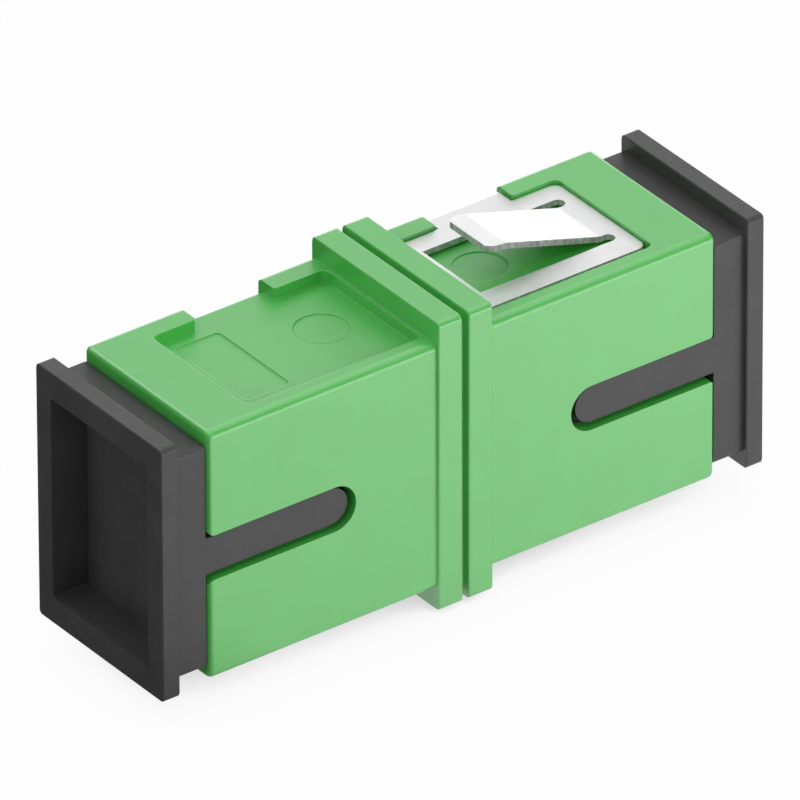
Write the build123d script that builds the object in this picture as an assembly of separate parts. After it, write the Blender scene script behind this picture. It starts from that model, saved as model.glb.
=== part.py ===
from build123d import *
import os

# Simplex fibre optic adapter with a panel clip and two push-in dust caps, in millimetres.
# X runs along the fibre, +Z is up, -Y is the side with the keyways. The origin is the
# middle of the alignment sleeve, on the fibre's axis. Each end is modelled at +X, and the
# piece at the other end is its mirror image in the joint plane x = 0.

# Housing half: body, port and edges. The body reaches a little further to the back than to the front
HALF_LENGTH = 14.1
BODY_FRONT_Y = 4.6
BODY_BACK_Y = 4.7
BODY_HEIGHT = 12.94
FRONT_EDGE_R = 0.4
BACK_EDGE_R = 0.28
MOUTH_EDGE_R = 0.26
PORT_WIDTH = 7.45
PORT_HEIGHT = 9.05
PORT_CORNER_R = 0.4
PORT_LEAD_IN = 0.25

# Flange plate round the joint, and the weld land that holds the two plates apart
FLANGE_WIDTH = 9.52
FLANGE_HEIGHT = 15.13
FLANGE_THICKNESS = 1.334
FLANGE_CORNER_R = 0.3
FLANGE_BEVEL = 0.06
FLANGE_GAP = 0.35
LAND_INSET = 0.45

# Keyway through the -Y wall, open at the mouth
KEYWAY_WIDTH = 2.32
KEYWAY_DROP = 0.1
KEYWAY_END = 5.99
KEYWAY_MOUTH_R = 0.34

# Seat of the spring clip: a shallow recess in the top and bottom, and a channel over the back
SEAT_START = 1.69
SEAT_END = 11.28
SEAT_FRONT_Y = 3.71
SEAT_BACK_Y = 3.5
SEAT_DEPTH = 0.58
SEAT_CORNER_R = 0.34
CHANNEL_START = 4.5
CHANNEL_END = 8.8
CHANNEL_DEPTH = 0.29
CHANNEL_BEND_R = 0.1
PRONG_TIP_R = 0.16

# Shallow marks moulded in the seat's floor
MARK_DEPTH = 0.06
LABEL_START = 8.08
LABEL_END = 10.54
LABEL_WIDTH = 5.42
LABEL_SHIFT = 0.12
LABEL_CORNER_R = 0.25
MARK_R = 1.28
MARK_X = 4.24
MARK_Y = 0.3
PIN_MARK_X = 4.58

# Sleeve holder: plate, barrel and two latch arms
HOLDER_PLATE_WIDTH = 7.9
HOLDER_PLATE_HEIGHT = 10.4
HOLDER_PLATE_THICKNESS = 1.45
HOLDER_CORNER_R = 0.5
HOLDER_SEAT_GAP = 0.05
BARREL_DIAMETER = 4.3
BARREL_LIP = 0.4
BARREL_LIP_BORE = 2.9
BARREL_CHAMFER = 0.3
ARM_WIDTH = 3.2
ARM_THICKNESS = 0.72
ARM_REACH = 9.6
ARM_OUTER_Z = 4.48
ARM_ROOT_R = 0.4
ARM_FLEX_ROOM = 0.62
ARM_SIDE_ROOM = 0.3
HOOK_HEIGHT = 0.46
HOOK_LAND = 0.45
HOOK_RAMP = 0.8

# Split alignment sleeve
SLEEVE_LENGTH = 11.4
SLEEVE_DIAMETER = 3.2
FERRULE_BORE = 2.5
SLEEVE_SLIT = 0.5
SLEEVE_CHAMFER = 0.1
SLEEVE_PLAY = 0.05
SLEEVE_END_PLAY = 0.1

# Spring clip, folded from one strip of sheet, and standing a little off the floor of its seat
SHEET = 0.3
SHEET_BEND_R = 0.2
CLIP_LIFT = 0.1
CLIP_END_PLAY = 0.05
CLIP_FRONT_Y = 3.32
CLIP_BACK_PLAY = 0.06
CLIP_CORNER_R = 0.5
CLIP_WEB_GAP = 0.05
CLIP_WEB_PLAY = 0.12
CLIP_WEB_OVERLAP = 0.4
WINDOW_START = 2.86
WINDOW_FRONT_Y = 2.05
WINDOW_BACK_Y = 2.31
TAB_CENTRE_Y = 0.12
TAB_WIDTH = 3.1
TAB_ROOT = 9.96
TAB_ROOT_OVERLAP = 0.5
TAB_SLOT_END = 10.55
TAB_LIP_START = 4.74
TAB_TIP = 3.7
TAB_RISE = 1.72
TAB_LIP_RISE = 0.12
TAB_BEND_R = 0.8
TAB_CORNER_R = 0.59

# Dust cap
CAP_SEAT_GAP = 0.05
CAP_REACH = 2.65
CAP_FLANGE_THICKNESS = 0.93
CAP_FLANGE_WIDTH = 9.44
CAP_FLANGE_HEIGHT = 13.18
CAP_FLANGE_CORNER_R = 0.25
CAP_BEVEL = 0.05
CAP_BODY_HEIGHT = 11.54
CAP_BODY_CORNER_R = 0.12
CAP_FRONT_Y = 4.43
CAP_BACK_Y = 4.6
POCKET_WIDTH = 7.23
POCKET_HEIGHT = 10.48
POCKET_DEPTH = 1.97
POCKET_CORNER_R = 0.15
PLUG_PLAY = 0.075
PLUG_CORNER_R = 0.35
PLUG_LEAD_IN = 0.25
PLUG_END = 6.5
PLUG_HOOK_ROOM = 0.4
NOSE_HOOK_GAP = 0.2
PLUG_WALL = 0.8
PLUG_FLOOR = 1.0
KEY_WIDTH = 1.87
KEY_END_GAP = 0.36

# Places that follow from the sizes above
flange_front = FLANGE_GAP / 2 + FLANGE_THICKNESS
body_top = BODY_HEIGHT / 2
seat_floor = body_top - SEAT_DEPTH
channel_floor = BODY_BACK_Y - CHANNEL_DEPTH
clip_underside = seat_floor + CLIP_LIFT
clip_level = clip_underside + SHEET / 2
clip_back_edge = SEAT_BACK_Y - CLIP_BACK_PLAY
holder_shoulder = HOLDER_PLATE_THICKNESS + HOLDER_SEAT_GAP
barrel_end = SLEEVE_LENGTH / 2 + SLEEVE_END_PLAY + BARREL_LIP
hook_tip_z = ARM_OUTER_Z - ARM_THICKNESS - HOOK_HEIGHT
cap_shoulder = HALF_LENGTH + CAP_SEAT_GAP
cap_face = HALF_LENGTH + CAP_REACH
pocket_floor = cap_face - POCKET_DEPTH
beyond = 20.0
touching = 0.001


def along_x(sketch, start, end):
    """Extrudes a Y-Z section from one x to another."""
    return extrude(Plane.YZ.offset(start) * sketch, amount=end - start)


def along_y(sketch, start, end):
    """Extrudes an X-Z outline from one y up to a larger one."""
    return extrude(Plane.XZ.offset(-end) * sketch, amount=end - start)


def along_z(sketch, start, end):
    """Extrudes a plan outline from one z to another."""
    return extrude(Plane.XY.offset(start) * sketch, amount=end - start)


def span(low_x, high_x, low_y, high_y):
    """A sketch rectangle between two corners."""
    centre = Pos((low_x + high_x) / 2, (low_y + high_y) / 2)
    return centre * Rectangle(high_x - low_x, high_y - low_y)


def rounded_span(low_x, high_x, low_y, high_y, radius):
    """A sketch rectangle between two corners, with rounded corners."""
    centre = Pos((low_x + high_x) / 2, (low_y + high_y) / 2)
    return centre * RectangleRounded(high_x - low_x, high_y - low_y, radius)


def corners_at(sketch, points):
    """The sketch's vertices that lie on the given points."""
    return [v for v in sketch.vertices() for x, y in points if abs(v.X - x) + abs(v.Y - y) < touching]


def both_sides(solid):
    """A solid and its mirror image in the plane z = 0."""
    return solid + mirror(solid, about=Plane.XY)


def housing_blank():
    """Body, flange plate and weld land of one half, still solid."""
    section = span(-BODY_FRONT_Y, BODY_BACK_Y, -body_top, body_top)
    section = fillet(corners_at(section, [(-BODY_FRONT_Y, -body_top), (-BODY_FRONT_Y, body_top)]), FRONT_EDGE_R)
    section = fillet(corners_at(section, [(BODY_BACK_Y, -body_top), (BODY_BACK_Y, body_top)]), BACK_EDGE_R)
    body = along_x(section, 0, HALF_LENGTH)
    body = fillet(body.faces().sort_by(Axis.X)[-1].edges(), MOUTH_EDGE_R)
    plate = RectangleRounded(FLANGE_WIDTH, FLANGE_HEIGHT, FLANGE_CORNER_R)
    flange = along_x(plate, FLANGE_GAP / 2, flange_front)
    flange = chamfer(flange.edges().filter_by(Plane.YZ), FLANGE_BEVEL)
    land_width = FLANGE_WIDTH - 2 * LAND_INSET
    land_height = FLANGE_HEIGHT - 2 * LAND_INSET
    land = along_x(RectangleRounded(land_width, land_height, FLANGE_CORNER_R), 0, flange_front)
    gap_ring = RectangleRounded(FLANGE_WIDTH, FLANGE_HEIGHT, FLANGE_CORNER_R)
    gap_ring -= RectangleRounded(land_width, land_height, FLANGE_CORNER_R)
    return body + flange + land - along_x(gap_ring, 0, FLANGE_GAP / 2)


def port_cavity():
    """The space for the plug, with the holder's pocket behind it and room for its arms."""
    outline = RectangleRounded(PORT_WIDTH, PORT_HEIGHT, PORT_CORNER_R)
    port = along_x(outline, 0, HALF_LENGTH)
    mouth = RectangleRounded(PORT_WIDTH + 2 * PORT_LEAD_IN, PORT_HEIGHT + 2 * PORT_LEAD_IN,
                             PORT_CORNER_R + PORT_LEAD_IN)
    flare = loft([Plane.YZ.offset(HALF_LENGTH - PORT_LEAD_IN) * outline,
                  Plane.YZ.offset(HALF_LENGTH) * mouth])
    pocket_width = HOLDER_PLATE_WIDTH + 2 * HOLDER_SEAT_GAP
    pocket_height = HOLDER_PLATE_HEIGHT + 2 * HOLDER_SEAT_GAP
    pocket = along_x(RectangleRounded(pocket_width, pocket_height, HOLDER_CORNER_R), 0, holder_shoulder)
    relief_height = 2 * (ARM_OUTER_Z + ARM_FLEX_ROOM)
    relief_width = ARM_WIDTH + 2 * ARM_SIDE_ROOM
    relief = along_x(Rectangle(relief_width, relief_height), 0, ARM_REACH + PLUG_HOOK_ROOM)
    return port + flare + pocket + relief


def keyway():
    """Slot through the -Y wall with a round end, flared where it meets the mouth."""
    low = -KEYWAY_DROP - KEYWAY_WIDTH / 2
    high = -KEYWAY_DROP + KEYWAY_WIDTH / 2
    radius = KEYWAY_WIDTH / 2
    slot = span(KEYWAY_END + radius, HALF_LENGTH + radius, low, high)
    slot += Pos(KEYWAY_END + radius, -KEYWAY_DROP) * Circle(radius)
    slot += span(HALF_LENGTH, HALF_LENGTH + radius, low - radius, high + radius)
    slot = fillet(corners_at(slot, [(HALF_LENGTH, low), (HALF_LENGTH, high)]), KEYWAY_MOUTH_R)
    return along_y(slot, -beyond, -PORT_WIDTH / 4)


def clip_seat():
    """Recess in the top and bottom, joined by a channel over the back between two prongs."""
    plan = rounded_span(SEAT_START, SEAT_END, -SEAT_FRONT_Y, SEAT_BACK_Y, SEAT_CORNER_R)
    plan += span(CHANNEL_START, CHANNEL_END, 0, beyond)
    tips = [(CHANNEL_START, SEAT_BACK_Y), (CHANNEL_END, SEAT_BACK_Y)]
    plan = fillet(corners_at(plan, tips), PRONG_TIP_R)
    core = span(-beyond, channel_floor, -seat_floor, seat_floor)
    back = [(channel_floor, -seat_floor), (channel_floor, seat_floor)]
    core = fillet(corners_at(core, back), CHANNEL_BEND_R)
    return along_z(plan, -beyond, beyond) - along_x(core, 0, beyond)


def floor_mark(outline):
    """A shallow sunk outline in the floor of the top seat."""
    return along_z(outline, seat_floor - MARK_DEPTH, seat_floor)


def housing_half():
    """One half of the housing, open at the mouth, without the marks in its seat."""
    return housing_blank() - port_cavity() - keyway() - clip_seat()


def housing_right():
    """The half that carries the clip, with the mark of an ejector pin under the clip's tab."""
    return housing_half() - floor_mark(Pos(PIN_MARK_X, MARK_Y) * Circle(MARK_R))


def housing_left():
    """The other half, with a bare label field and a bare round mark."""
    half = mirror(housing_half(), about=Plane.YZ)
    low_y = LABEL_SHIFT - LABEL_WIDTH / 2
    high_y = LABEL_SHIFT + LABEL_WIDTH / 2
    field = rounded_span(-LABEL_END, -LABEL_START, low_y, high_y, LABEL_CORNER_R)
    disc = Pos(-MARK_X, MARK_Y) * Circle(MARK_R)
    return half - floor_mark(field) - floor_mark(disc)


def barrel():
    """Barrel round half of the sleeve, with a lip that keeps the sleeve in."""
    outer = BARREL_DIAMETER / 2
    bore = SLEEVE_DIAMETER / 2 + SLEEVE_PLAY
    lip = BARREL_LIP_BORE / 2
    inner_end = barrel_end - BARREL_LIP
    section = Polyline(
        (0, bore), (inner_end, bore), (inner_end, lip), (barrel_end - BARREL_CHAMFER, lip),
        (barrel_end, lip + BARREL_CHAMFER), (barrel_end, outer - BARREL_CHAMFER),
        (barrel_end - BARREL_CHAMFER, outer), (0, outer), close=True)
    return revolve(Plane.XY * make_face(section), Axis.X)


def latch_arm():
    """Springy arm above the barrel with a hook at its free end."""
    inner = ARM_OUTER_Z - ARM_THICKNESS
    nose = inner + ARM_THICKNESS / 3
    catch = ARM_REACH - HOOK_RAMP - HOOK_LAND
    outline = Polyline(
        (0, ARM_OUTER_Z), (ARM_REACH, ARM_OUTER_Z), (ARM_REACH, nose),
        (ARM_REACH - HOOK_RAMP, hook_tip_z), (catch, hook_tip_z), (catch, inner),
        (0, inner), close=True)
    return along_y(make_face(outline), -ARM_WIDTH / 2, ARM_WIDTH / 2)


def sleeve_holder():
    """Plate held between the housing halves, with its barrel and its two latch arms."""
    plate = RectangleRounded(HOLDER_PLATE_WIDTH, HOLDER_PLATE_HEIGHT, HOLDER_CORNER_R)
    plate -= Circle(BARREL_DIAMETER / 2)
    holder = along_x(plate, 0, HOLDER_PLATE_THICKNESS) + barrel() + both_sides(latch_arm())
    inner = ARM_OUTER_Z - ARM_THICKNESS
    roots = [e for e in holder.edges().filter_by(Axis.Y)
             if abs(e.center().X - HOLDER_PLATE_THICKNESS) < touching
             and abs(abs(e.center().Z) - inner) < touching]
    return fillet(roots, ARM_ROOT_R)


def split_sleeve():
    """Thin ceramic tube, slit along its top so that it grips the ferrules."""
    tube = Circle(SLEEVE_DIAMETER / 2) - Circle(FERRULE_BORE / 2)
    tube -= span(-SLEEVE_SLIT / 2, SLEEVE_SLIT / 2, 0, SLEEVE_DIAMETER)
    sleeve = along_x(tube, -SLEEVE_LENGTH / 2, SLEEVE_LENGTH / 2)
    ends = [e for e in sleeve.edges().filter_by(GeomType.CIRCLE)]
    return chamfer(ends, SLEEVE_CHAMFER)


def tab_path():
    """Middle line of the sheet along the raised tab, from inside the top plate to its tip."""
    tip = clip_level + TAB_RISE
    return FilletPolyline(
        (TAB_ROOT + TAB_ROOT_OVERLAP, clip_level), (TAB_ROOT, clip_level),
        (TAB_LIP_START, tip - TAB_LIP_RISE), (TAB_TIP, tip), radius=TAB_BEND_R)


def clip_tab():
    """Tab that snaps behind the panel, with rounded free corners."""
    side = along_y(trace(tab_path(), SHEET), TAB_CENTRE_Y - TAB_WIDTH / 2, TAB_CENTRE_Y + TAB_WIDTH / 2)
    low_y = TAB_CENTRE_Y - TAB_WIDTH / 2
    high_y = TAB_CENTRE_Y + TAB_WIDTH / 2
    plan = span(TAB_TIP - SHEET / 4, TAB_ROOT + TAB_ROOT_OVERLAP, low_y, high_y)
    tip = [(TAB_TIP - SHEET / 4, low_y), (TAB_TIP - SHEET / 4, high_y)]
    plan = fillet(corners_at(plan, tip), TAB_CORNER_R)
    return side & along_z(plan, 0, beyond)


def clip_plate():
    """Flat frame of the clip in the top seat, with its window and the slots beside the tab."""
    low_x = SEAT_START + CLIP_END_PLAY
    high_x = SEAT_END - CLIP_END_PLAY
    plan = rounded_span(low_x, high_x, -CLIP_FRONT_Y, clip_back_edge, CLIP_CORNER_R)
    tab_low = TAB_CENTRE_Y - TAB_WIDTH / 2
    tab_high = TAB_CENTRE_Y + TAB_WIDTH / 2
    window = span(WINDOW_START, TAB_ROOT, -WINDOW_FRONT_Y, WINDOW_BACK_Y)
    front_slot = tab_low + WINDOW_FRONT_Y
    back_slot = WINDOW_BACK_Y - tab_high
    for centre, width in ((tab_low - front_slot / 2, front_slot), (tab_high + back_slot / 2, back_slot)):
        round_end = TAB_SLOT_END - width / 2
        window += span(WINDOW_START, round_end, centre - width / 2, centre + width / 2)
        window += Pos(round_end, centre) * Circle(width / 2)
    return along_z(plan - window, clip_underside, clip_underside + SHEET)


def clip_web():
    """Band of the clip over the back of the housing, bent round at the top and the bottom."""
    back = channel_floor + CLIP_WEB_GAP + SHEET / 2
    start = clip_back_edge - CLIP_WEB_OVERLAP
    path = FilletPolyline((start, -clip_level), (back, -clip_level), (back, clip_level), (start, clip_level),
                          radius=SHEET_BEND_R + SHEET / 2)
    web_start = CHANNEL_START + CLIP_WEB_PLAY
    web_end = CHANNEL_END - CLIP_WEB_PLAY
    return along_x(trace(path, SHEET), web_start, web_end)


def spring_clip():
    """The whole clip: a frame and a tab on the top and the bottom, and the band between."""
    return clip_web() + both_sides(clip_plate() + clip_tab())


def cap_plug():
    """Hollow plug in the port: full section at the mouth, a slimmer nose between the hooks."""
    full_width = PORT_WIDTH - 2 * PLUG_PLAY
    full_height = PORT_HEIGHT - 2 * PLUG_PLAY
    nose_height = 2 * (hook_tip_z - NOSE_HOOK_GAP)
    full_start = ARM_REACH + PLUG_HOOK_ROOM
    full = along_x(RectangleRounded(full_width, full_height, PLUG_CORNER_R), full_start, cap_shoulder)
    full = chamfer(full.faces().sort_by(Axis.X)[0].edges(), PLUG_LEAD_IN)
    nose = along_x(RectangleRounded(full_width, nose_height, PLUG_CORNER_R), PLUG_END, cap_shoulder)
    nose = chamfer(nose.faces().sort_by(Axis.X)[0].edges(), PLUG_LEAD_IN / 2)
    hollow = RectangleRounded(full_width - 2 * PLUG_WALL, nose_height - 2 * PLUG_WALL, PLUG_CORNER_R)
    return full + nose - along_x(hollow, PLUG_END, pocket_floor - PLUG_FLOOR)


def cap_key():
    """Round-ended rib that runs in the keyway, flush with the front of the cap's body."""
    radius = KEY_WIDTH / 2
    round_x = KEYWAY_END + KEY_END_GAP + radius
    outline = span(round_x, cap_shoulder, -radius, radius) + Pos(round_x, 0) * Circle(radius)
    return along_y(outline, -CAP_FRONT_Y, -PORT_WIDTH / 2 + PLUG_PLAY + PLUG_WALL / 2)


def dust_cap():
    """Cap at the +X end: flange with a front pocket, body, plug and key."""
    flange_back = cap_face - CAP_FLANGE_THICKNESS
    outline = RectangleRounded(CAP_FLANGE_WIDTH, CAP_FLANGE_HEIGHT, CAP_FLANGE_CORNER_R)
    flange = along_x(outline, flange_back, cap_face)
    flange = chamfer(flange.edges().filter_by(Plane.YZ), CAP_BEVEL)
    half_height = CAP_BODY_HEIGHT / 2
    section = rounded_span(-CAP_FRONT_Y, CAP_BACK_Y, -half_height, half_height, CAP_BODY_CORNER_R)
    body = along_x(section, cap_shoulder, flange_back)
    pocket_outline = RectangleRounded(POCKET_WIDTH, POCKET_HEIGHT, POCKET_CORNER_R)
    pocket = along_x(pocket_outline, pocket_floor, cap_face)
    return flange + body + cap_plug() + cap_key() - pocket


def build_parts():
    """Every piece of the adapter, by name."""
    holder = sleeve_holder()
    cap = dust_cap()
    return {
        "housing_left": housing_left(),
        "housing_right": housing_right(),
        "sleeve_holder_left": mirror(holder, about=Plane.YZ),
        "sleeve_holder_right": holder,
        "split_sleeve": split_sleeve(),
        "spring_clip": spring_clip(),
        "dust_cap_left": mirror(cap, about=Plane.YZ),
        "dust_cap_right": cap,
    }


os.makedirs("parts", exist_ok=True)
for name, piece in build_parts().items():
    piece.label = name
    export_step(piece, f"parts/{name}.step")
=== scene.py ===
import math

import bpy
from mathutils import Matrix, Vector


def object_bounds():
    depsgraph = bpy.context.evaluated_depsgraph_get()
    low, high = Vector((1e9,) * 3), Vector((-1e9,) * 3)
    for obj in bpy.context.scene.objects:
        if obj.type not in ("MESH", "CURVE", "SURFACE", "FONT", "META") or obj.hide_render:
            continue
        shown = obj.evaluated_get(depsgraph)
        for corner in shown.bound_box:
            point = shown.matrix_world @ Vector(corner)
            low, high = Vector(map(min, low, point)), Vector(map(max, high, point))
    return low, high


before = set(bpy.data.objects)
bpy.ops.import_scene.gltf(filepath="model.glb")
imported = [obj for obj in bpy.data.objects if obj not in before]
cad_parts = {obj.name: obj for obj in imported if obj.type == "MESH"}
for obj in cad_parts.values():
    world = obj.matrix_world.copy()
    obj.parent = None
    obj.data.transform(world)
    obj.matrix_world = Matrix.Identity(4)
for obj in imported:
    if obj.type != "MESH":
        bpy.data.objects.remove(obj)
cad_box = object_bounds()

MM = 0.001

# Camera, as fitted to the photograph: direction, roll, distance, framing, and how near and far it sees
AZIMUTH = -36.51
ELEVATION = 31.87
ROLL = -0.229
DISTANCE = 960.97 * MM
ASIDE = -0.1059 * MM
ABOVE = 0.5903 * MM
LENS = 965.98
SENSOR = 36.0
SIGHT_START = 0.1
SIGHT_END = 5.0

# Noise lies mostly between these two values; clouds have more fine detail than grain
NOISE_LOW = 0.3
NOISE_HIGH = 0.7
CLOUD_DETAIL = 3.0
GRAIN_DETAIL = 2.0
BEVEL_SAMPLES = 8

# Moulded plastics: patches of two close shades, and for each plastic its gloss, grain and rounded edges
PATCH_SIZE = 2.2 * MM
ROUGHNESS_SWING = 0.05
MOULD_GRAIN_STRENGTH = 0.5
PLASTICS = {
    "green_plastic": {
        "shades": ((0.052, 0.46, 0.058, 1.0), (0.049, 0.44, 0.055, 1.0)),
        "roughness": 0.34,
        "specular": 1.0,
        "ior": 1.9,
        "grain": 0.12 * MM,
        "relief": 0.004 * MM,
        "edge": 0.06 * MM,
    },
    "black_plastic": {
        "shades": ((0.052, 0.052, 0.052, 1.0), (0.042, 0.042, 0.042, 1.0)),
        "roughness": 0.4,
        "specular": 0.54,
        "ior": 1.5,
        "grain": 0.11 * MM,
        "relief": 0.028 * MM,
        "edge": 0.03 * MM,
    },
    "holder_plastic": {
        "shades": ((0.75, 0.72, 0.62, 1.0), (0.71, 0.68, 0.58, 1.0)),
        "roughness": 0.4,
        "specular": 0.5,
        "ior": 1.5,
        "grain": 0.12 * MM,
        "relief": 0.006 * MM,
        "edge": 0.04 * MM,
    },
}
MOULDED_PAIRS = {"housing": "green_plastic", "sleeve_holder": "holder_plastic", "dust_cap": "black_plastic"}

# Rolled sheet of the clip
SHEET_SHADES = (0.93, 0.87)
SHEET_PATCH = 1.5 * MM
SHEET_ROUGHNESS = (0.42, 0.5)
SHEET_GRAIN = 0.08 * MM
SHEET_RELIEF = 0.004 * MM
SHEET_GRAIN_STRENGTH = 0.3
SHEET_EDGE = 0.05 * MM

# Its sheared edges: upright faces nearer than the band over the back, with streaks across their thickness
WEB_Y = 4.3 * MM
UPRIGHT_LIMIT = 0.45
CUT_SHADES = (0.96, 0.7)
CUT_ROUGHNESS = 0.9
STREAK_SIZE = 0.2 * MM
STREAK_SCALE = (1.0, 1.0, 0.4)

# Polished zirconia of the sleeve
CERAMIC_SHADES = ((0.84, 0.83, 0.79, 1.0), (0.8, 0.79, 0.75, 1.0))
CERAMIC_PATCH = 1.0 * MM
CERAMIC_ROUGHNESS = 0.15
CERAMIC_GRAIN = 0.1 * MM
CERAMIC_RELIEF = 0.002 * MM
CERAMIC_GRAIN_STRENGTH = 0.2

# The floor lies under the lowest point of the object
FLOOR_Z = cad_box[0].z
FLOOR_REACH = 3.0
FLOOR_GREY = 0.8
FLOOR_SEEN_GREY = 0.02

# Shadow on the floor: how far it looks for cover, and the floor's strength at each share of open sky
SHADOW_REACH = 6.0 * MM
SHADOW_SAMPLES = 16
SHADOW_STEPS = ((0.1, 0.6), (0.22, 0.92), (0.5, 0.95), (0.95, 0.97))

# What gloss shows of the floor: dark beyond the object's left end, paler and paler towards this azimuth
GLOSS_AZIMUTH = 70.0
GLOSS_DARK_END = -15.0 * MM
GLOSS_PALE_START = -6.0 * MM
GLOSS_FAR = 50.0 * MM
GLOSS_NEAR_STRENGTH = 0.82
GLOSS_FAR_STRENGTH = 1.3

# Strength of the world as a light, in gloss and as the backdrop
WORLD_LIGHT = 0.06
WORLD_IN_GLOSS = 0.09
WORLD_SEEN = 1.0

# Softboxes: azimuth and elevation seen from the object, width, height, radiance, seen in gloss
LAMP_DISTANCE = 0.4
SOFTBOXES = {
    "overhead": (0.0, 90.0, 0.6, 0.6, 0.95, True),
    "back": (138.0, 34.0, 0.4, 0.36, 0.5, True),
    "back_low": (140.0, 9.0, 0.4, 0.12, 2.1, True),
    "back_high": (-170.0, 46.0, 0.24, 0.2, 1.3, True),
    "left": (-95.0, 30.0, 0.3, 0.26, 2.3, False),
    "front": (-5.0, 20.0, 0.3, 0.2, 1.9, False),
    "front_right": (35.0, 20.0, 0.3, 0.2, 3.3, False),
    "front_right_strip": (33.0, 1.0, 0.3, 0.03, 4.0, True),
    "right": (85.0, 20.0, 0.3, 0.2, 2.3, False),
}


def direction(azimuth, elevation):
    """Unit vector from the object towards a place round it; azimuth 0 is at -Y, 90 at +X."""
    a, e = math.radians(azimuth), math.radians(elevation)
    return Vector((math.sin(a) * math.cos(e), -math.cos(a) * math.cos(e), math.sin(e)))


def grey(value):
    """A grey colour."""
    return (value, value, value, 1.0)


def add_object(name, data):
    """A new object in the scene."""
    added = bpy.data.objects.new(name, data)
    bpy.context.scene.collection.objects.link(added)
    return added


def make_camera():
    """Camera at the photograph's viewing angle."""
    back = direction(AZIMUTH, ELEVATION)
    right = Vector((math.cos(math.radians(AZIMUTH)), math.sin(math.radians(AZIMUTH)), 0.0))
    up = back.cross(right)
    roll = math.radians(ROLL)
    rolled_right = math.cos(roll) * right + math.sin(roll) * up
    rolled_up = -math.sin(roll) * right + math.cos(roll) * up
    data = bpy.data.cameras.new("camera")
    data.lens = LENS
    data.sensor_width = SENSOR
    data.clip_start = SIGHT_START
    data.clip_end = SIGHT_END
    camera = add_object("camera", data)
    axes = Matrix((rolled_right, rolled_up, back)).transposed()
    place = DISTANCE * back + ASIDE * rolled_right + ABOVE * rolled_up
    camera.matrix_world = Matrix.Translation(place) @ axes.to_4x4()
    bpy.context.scene.camera = camera


def new_material(name):
    """A node material, its tree and its shader."""
    material = bpy.data.materials.new(name)
    material.use_nodes = True
    tree = material.node_tree
    return material, tree, tree.nodes["Principled BSDF"]


def feed(tree, source, socket):
    """Links a socket to another one, or sets it to a plain value."""
    if isinstance(source, bpy.types.NodeSocket):
        tree.links.new(source, socket)
    else:
        socket.default_value = source


def add_node(tree, kind, **sources):
    """A node of one kind, with its inputs fed by name."""
    node = tree.nodes.new(kind)
    for name, source in sources.items():
        feed(tree, source, node.inputs[name.replace("_", " ")])
    return node


def object_place(tree):
    """Coordinates in metres that ride with the piece."""
    return tree.nodes.new("ShaderNodeTexCoord").outputs["Object"]


def noise(tree, place, size, detail):
    """Noise with patches of about one size, in metres."""
    return add_node(tree, "ShaderNodeTexNoise", Vector=place, Scale=1.0 / size, Detail=detail).outputs["Fac"]


def spread(tree, value, low, high, start=NOISE_LOW, end=NOISE_HIGH):
    """A value, stretched to go from low to high between start and end."""
    node = add_node(
        tree, "ShaderNodeMapRange", Value=value, From_Min=start, From_Max=end, To_Min=low, To_Max=high
    )
    return node.outputs["Result"]


def clouds(tree, place, size):
    """Soft patches that go from 0 to 1."""
    return spread(tree, noise(tree, place, size, CLOUD_DETAIL), 0.0, 1.0)


def calculate(tree, operation, *sources):
    """One step of arithmetic."""
    node = tree.nodes.new("ShaderNodeMath")
    node.operation = operation
    for source, socket in zip(sources, node.inputs):
        feed(tree, source, socket)
    return node.outputs[0]


def blend_colours(tree, factor, first, second):
    """A colour between two colours."""
    node = tree.nodes.new("ShaderNodeMix")
    node.data_type = "RGBA"
    feed(tree, factor, node.inputs[0])
    feed(tree, first, node.inputs[6])
    feed(tree, second, node.inputs[7])
    return node.outputs[2]


def rounded(tree, radius):
    """Normals that round the sharp edges."""
    node = add_node(tree, "ShaderNodeBevel", Radius=radius)
    node.samples = BEVEL_SAMPLES
    return node.outputs["Normal"]


def bump(tree, shader, height, distance, strength, normal=None):
    """Small relief from a height value; distance in metres."""
    node = add_node(tree, "ShaderNodeBump", Height=height, Distance=distance, Strength=strength)
    if normal is not None:
        feed(tree, normal, node.inputs["Normal"])
    feed(tree, node.outputs["Normal"], shader.inputs["Normal"])


def moulded_plastic(name, shades, roughness, specular, ior, grain, relief, edge):
    """Satin moulded plastic: a little uneven in colour and gloss, with a fine grain."""
    material, tree, shader = new_material(name)
    place = object_place(tree)
    feed(tree, blend_colours(tree, clouds(tree, place, PATCH_SIZE), *shades), shader.inputs["Base Color"])
    fine = noise(tree, place, grain, GRAIN_DETAIL)
    uneven = spread(tree, fine, roughness - ROUGHNESS_SWING, roughness + ROUGHNESS_SWING)
    feed(tree, uneven, shader.inputs["Roughness"])
    shader.inputs["Specular IOR Level"].default_value = specular
    shader.inputs["IOR"].default_value = ior
    bump(tree, shader, fine, relief, MOULD_GRAIN_STRENGTH, rounded(tree, edge))
    return material


def sheared_faces(tree, place):
    """1 on the clip's sheared edges, 0 on its sheet."""
    facing = tree.nodes.new("ShaderNodeTexCoord").outputs["Normal"]
    tilt = calculate(tree, "ABSOLUTE", add_node(tree, "ShaderNodeSeparateXYZ", Vector=facing).outputs["Z"])
    upright = calculate(tree, "LESS_THAN", tilt, UPRIGHT_LIMIT)
    depth = add_node(tree, "ShaderNodeSeparateXYZ", Vector=place).outputs["Y"]
    return calculate(tree, "MULTIPLY", upright, calculate(tree, "LESS_THAN", depth, WEB_Y))


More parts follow.
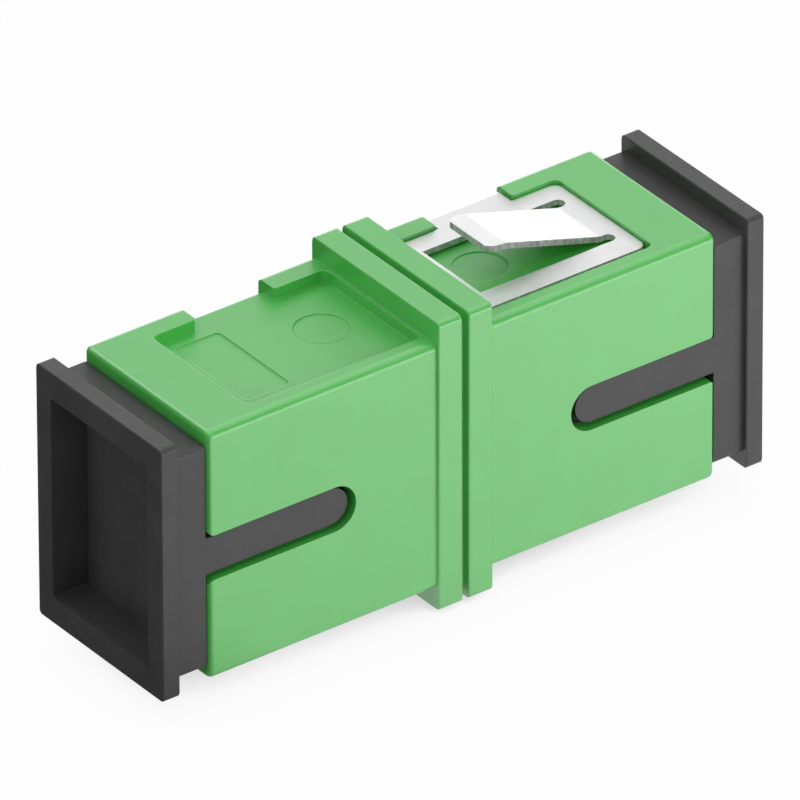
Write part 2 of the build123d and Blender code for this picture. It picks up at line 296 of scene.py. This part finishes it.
def spring_steel():
    """Matte rolled stainless sheet, with dull streaked edges where it was sheared."""
    material, tree, shader = new_material("spring_steel")
    place = object_place(tree)
    shader.inputs["Metallic"].default_value = 1.0
    sheared = sheared_faces(tree, place)
    sheet = blend_colours(tree, clouds(tree, place, SHEET_PATCH), *map(grey, SHEET_SHADES))
    drawn_out = add_node(tree, "ShaderNodeMapping", Vector=place, Scale=STREAK_SCALE).outputs["Vector"]
    cut = blend_colours(tree, clouds(tree, drawn_out, STREAK_SIZE), *map(grey, CUT_SHADES))
    feed(tree, blend_colours(tree, sheared, sheet, cut), shader.inputs["Base Color"])
    fine = noise(tree, place, SHEET_GRAIN, GRAIN_DETAIL)
    satin = spread(tree, fine, *SHEET_ROUGHNESS)
    rougher = add_node(tree, "ShaderNodeMix", Factor=sheared, A=satin, B=CUT_ROUGHNESS)
    feed(tree, rougher.outputs["Result"], shader.inputs["Roughness"])
    bump(tree, shader, fine, SHEET_RELIEF, SHEET_GRAIN_STRENGTH, rounded(tree, SHEET_EDGE))
    return material


def ceramic():
    """Polished zirconia."""
    material, tree, shader = new_material("ceramic")
    place = object_place(tree)
    shade = blend_colours(tree, clouds(tree, place, CERAMIC_PATCH), *CERAMIC_SHADES)
    feed(tree, shade, shader.inputs["Base Color"])
    shader.inputs["Roughness"].default_value = CERAMIC_ROUGHNESS
    fine = noise(tree, place, CERAMIC_GRAIN, GRAIN_DETAIL)
    bump(tree, shader, fine, CERAMIC_RELIEF, CERAMIC_GRAIN_STRENGTH)
    return material


def wear(node, material):
    """Gives a CAD node its material."""
    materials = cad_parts[node].data.materials
    materials.clear()
    materials.append(material)


def dress_pieces():
    """Gives every piece its material."""
    for family, plastic in MOULDED_PAIRS.items():
        material = moulded_plastic(plastic, **PLASTICS[plastic])
        for side in ("left", "right"):
            wear(f"{family}_{side}", material)
    wear("split_sleeve", ceramic())
    wear("spring_clip", spring_steel())


def choose(tree, test, otherwise, chosen):
    """One shader where the test is 1, another where it is 0."""
    node = tree.nodes.new("ShaderNodeMixShader")
    for source, socket in zip((test, otherwise, chosen), node.inputs):
        feed(tree, source, socket)
    return node.outputs[0]


def by_ray(tree, lighting, mirrored, seen):
    """One shader to light the object, one that its gloss shows and one that the camera sees."""
    rays = tree.nodes.new("ShaderNodeLightPath").outputs
    unseen = choose(tree, rays["Is Glossy Ray"], lighting, mirrored)
    return choose(tree, rays["Is Camera Ray"], unseen, seen)


def floor_in_gloss(tree):
    """Emission that mirrored rays meet: it grows along the floor towards one azimuth."""
    ahead = tree.nodes.new("ShaderNodeVectorMath")
    ahead.operation = "DOT_PRODUCT"
    feed(tree, object_place(tree), ahead.inputs[0])
    feed(tree, direction(GLOSS_AZIMUTH, 0.0), ahead.inputs[1])
    way = ahead.outputs["Value"]
    near = spread(tree, way, 0.0, GLOSS_NEAR_STRENGTH, GLOSS_DARK_END, GLOSS_PALE_START)
    further = GLOSS_FAR_STRENGTH - GLOSS_NEAR_STRENGTH
    far = spread(tree, way, 0.0, further, GLOSS_PALE_START, GLOSS_FAR)
    strength = calculate(tree, "ADD", near, far)
    return add_node(tree, "ShaderNodeEmission", Strength=strength).outputs[0]


def floor_for_camera(tree):
    """Nearly white floor, shaded where the object covers the sky."""
    cover = add_node(tree, "ShaderNodeAmbientOcclusion", Distance=SHADOW_REACH)
    cover.samples = SHADOW_SAMPLES
    shade = add_node(tree, "ShaderNodeValToRGB", Fac=cover.outputs["AO"])
    steps = shade.color_ramp.elements
    while len(steps) < len(SHADOW_STEPS):
        steps.new(1.0)
    for step, (place, strength) in zip(steps, SHADOW_STEPS):
        step.position = place
        step.color = grey(strength)
    own = add_node(tree, "ShaderNodeEmission", Color=shade.outputs["Color"])
    lit = add_node(tree, "ShaderNodeBsdfDiffuse", Color=grey(FLOOR_SEEN_GREY))
    both = tree.nodes.new("ShaderNodeAddShader")
    feed(tree, lit.outputs[0], both.inputs[0])
    feed(tree, own.outputs[0], both.inputs[1])
    return both.outputs[0]


def make_floor():
    """Pale floor that stays nearly white for the camera and keeps the object's shadow."""
    mesh = bpy.data.meshes.new("floor")
    signs = ((-1, -1), (1, -1), (1, 1), (-1, 1))
    corners = [(x * FLOOR_REACH, y * FLOOR_REACH, FLOOR_Z) for x, y in signs]
    mesh.from_pydata(corners, [], [(0, 1, 2, 3)])
    floor = add_object("floor", mesh)
    material, tree, shader = new_material("floor")
    tree.nodes.remove(shader)
    lit = add_node(tree, "ShaderNodeBsdfDiffuse", Color=grey(FLOOR_GREY)).outputs[0]
    surface = by_ray(tree, lit, floor_in_gloss(tree), floor_for_camera(tree))
    feed(tree, surface, tree.nodes["Material Output"].inputs["Surface"])
    mesh.materials.append(material)


def make_world():
    """White backdrop for the camera, soft pale light for everything else."""
    world = bpy.data.worlds.new("studio")
    world.use_nodes = True
    bpy.context.scene.world = world
    tree = world.node_tree
    tree.nodes.remove(tree.nodes["Background"])
    sides = [
        add_node(tree, "ShaderNodeBackground", Color=grey(1.0), Strength=strength).outputs[0]
        for strength in (WORLD_LIGHT, WORLD_IN_GLOSS, WORLD_SEEN)
    ]
    feed(tree, by_ray(tree, *sides), tree.nodes["World Output"].inputs["Surface"])


def softbox(name, azimuth, elevation, width, height, radiance, in_gloss):
    """Soft lamp that looks at the object and isn't seen itself."""
    data = bpy.data.lights.new(name, "AREA")
    data.shape = "RECTANGLE"
    data.size = width
    data.size_y = height
    data.energy = radiance * math.pi * width * height
    lamp = add_object(name, data)
    towards = direction(azimuth, elevation)
    lamp.location = LAMP_DISTANCE * towards
    lamp.rotation_mode = "QUATERNION"
    lamp.rotation_quaternion = towards.to_track_quat("Z", "Y")
    lamp.visible_camera = False
    lamp.visible_glossy = in_gloss


dress_pieces()
make_camera()
make_floor()
make_world()
for name, values in SOFTBOXES.items():
    softbox(name, *values)

bpy.context.scene.view_settings.view_transform = "Standard"
